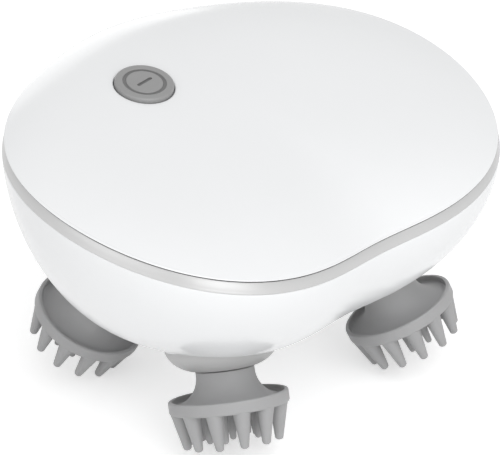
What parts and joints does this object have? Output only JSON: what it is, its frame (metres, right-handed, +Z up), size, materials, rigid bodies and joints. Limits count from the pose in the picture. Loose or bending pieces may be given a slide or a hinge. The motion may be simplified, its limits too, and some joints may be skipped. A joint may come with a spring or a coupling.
{
  "type": "electric scalp massager",
  "caption": "Palm-sized white electric scalp massager: a domed bean-shaped case with a silver trim ring and power button on tilted, geared rotating grey silicone finger heads.",
  "frame": {"origin": "on the floor under the middle of the case, at the height of the lowest fingertips", "axes": "+X along the case towards the end away from the power button, +Y towards the high back edge, +Z up"},
  "size_m": [0.121, 0.0925, 0.0766],
  "materials": {
    "case_white": "smooth gloss white",
    "trim_silver": "satin silver",
    "gasket_dark": "matte dark rubber",
    "button_grey": "satin grey",
    "black_plastic": "matte black",
    "switch_metal": "tinned steel",
    "board_green": "solder-masked laminate",
    "screw_steel": "plated steel",
    "connector_cream": "natural nylon",
    "battery_foil": "laminated foil",
    "frame_plastic": "natural matte",
    "gearbox_grey": "die-cast satin",
    "motor_steel": "drawn plated steel",
    "shaft_steel": "ground steel",
    "gear_plastic": "natural acetal",
    "contact_gold": "gold-plated",
    "magnet_nickel": "nickel-plated",
    "collar_grey": "satin grey",
    "seal_rubber": "matte black rubber",
    "bush_bronze": "sintered bronze",
    "hub_plastic": "moulded nylon",
    "claw_silicone": "matte grey silicone"
  },
  "bodies": {
    "housing": {"top_cover": "case_white", "case_gasket": "gasket_dark", "trim_ring": "trim_silver", "lower_shell": "case_white", "tact_switch": "switch_metal", "main_board": "board_green", "board_screws": "screw_steel", "controller_chip": "black_plastic", "battery_plug": "connector_cream", "battery_cell": "battery_foil", "battery_bed": "black_plastic", "bearing_plate": "frame_plastic", "plate_screws": "screw_steel", "cover_screws": "screw_steel", "screw_plugs": "case_white", "gearbox_case": "gearbox_grey", "gearbox_screws": "screw_steel", "motor_can": "motor_steel", "motor_cap": "black_plastic", "gear_axles": "shaft_steel", "collar_front_left": "collar_grey", "collar_front_right": "collar_grey", "collar_back_left": "collar_grey", "collar_back_right": "collar_grey", "collar_screws": "screw_steel", "seal_front_left": "seal_rubber", "seal_front_right": "seal_rubber", "seal_back_left": "seal_rubber", "seal_back_right": "seal_rubber", "bush_front_left": "bush_bronze", "bush_front_right": "bush_bronze", "bush_back_left": "bush_bronze", "bush_back_right": "bush_bronze", "charge_contacts": "contact_gold", "dock_magnets": "magnet_nickel"},
    "power_button": {"power_button": "button_grey", "button_seal": "gasket_dark", "switch_plunger": "black_plastic"},
    "drive": {"drive_shaft": "shaft_steel", "drive_pinion": "gear_plastic"},
    "left_gear": {"gear_left": "gear_plastic"},
    "right_gear": {"gear_right": "gear_plastic"},
    "head_front_left": {"spindle_front_left": "shaft_steel", "bevel_front_left": "gear_plastic", "hub_front_left": "hub_plastic", "claw_front_left": "claw_silicone"},
    "head_front_right": {"spindle_front_right": "shaft_steel", "bevel_front_right": "gear_plastic", "hub_front_right": "hub_plastic", "claw_front_right": "claw_silicone"},
    "head_back_left": {"spindle_back_left": "shaft_steel", "bevel_back_left": "gear_plastic", "hub_back_left": "hub_plastic", "claw_back_left": "claw_silicone"},
    "head_back_right": {"spindle_back_right": "shaft_steel", "bevel_back_right": "gear_plastic", "hub_back_right": "hub_plastic", "claw_back_right": "claw_silicone"}
  },
  "joints": [
    {"name": "button_press", "type": "slide", "parent": "housing", "child": "power_button", "axis": [0, 0.2, -0.9798], "range_m": [0, 0.0006], "stiffness_N_per_m": 1500},
    {"name": "gear_left_spin", "type": "hinge", "parent": "housing", "child": "left_gear", "pos_m": [-0.01495, 0, 0.02936], "axis": [0, 0, 1], "continuous": true},
    {"name": "gear_right_spin", "type": "hinge", "parent": "housing", "child": "right_gear", "pos_m": [0.01495, 0, 0.02936], "axis": [0, 0, 1], "continuous": true},
    {"name": "drive_spin", "type": "hinge", "parent": "housing", "child": "drive", "pos_m": [-0.0016, 0.01519, 0.02936], "axis": [0, 0, 1], "continuous": true},
    {"name": "head_front_left_spin", "type": "hinge", "parent": "housing", "child": "head_front_left", "pos_m": [-0.0276, -0.024, 0.01493], "axis": [0.2154, 0.4085, 0.887], "continuous": true},
    {"name": "head_front_right_spin", "type": "hinge", "parent": "housing", "child": "head_front_right", "pos_m": [0.0276, -0.024, 0.01493], "axis": [-0.2154, 0.4085, 0.887], "continuous": true},
    {"name": "head_back_left_spin", "type": "hinge", "parent": "housing", "child": "head_back_left", "pos_m": [-0.0276, 0.024, 0.01493], "axis": [0.2154, -0.4085, 0.887], "continuous": true},
    {"name": "head_back_right_spin", "type": "hinge", "parent": "housing", "child": "head_back_right", "pos_m": [0.0276, 0.024, 0.01493], "axis": [-0.2154, -0.4085, 0.887], "continuous": true}
  ],
  "couplings": [
    {"joint": "gear_right_spin", "follows": "gear_left_spin", "ratio": -1},
    {"joint": "drive_spin", "follows": "gear_left_spin", "ratio": -2.8333},
    {"joint": "head_front_left_spin", "follows": "gear_left_spin", "ratio": -2},
    {"joint": "head_front_right_spin", "follows": "gear_left_spin", "ratio": 2},
    {"joint": "head_back_left_spin", "follows": "gear_left_spin", "ratio": -2},
    {"joint": "head_back_right_spin", "follows": "gear_left_spin", "ratio": 2}
  ]
}
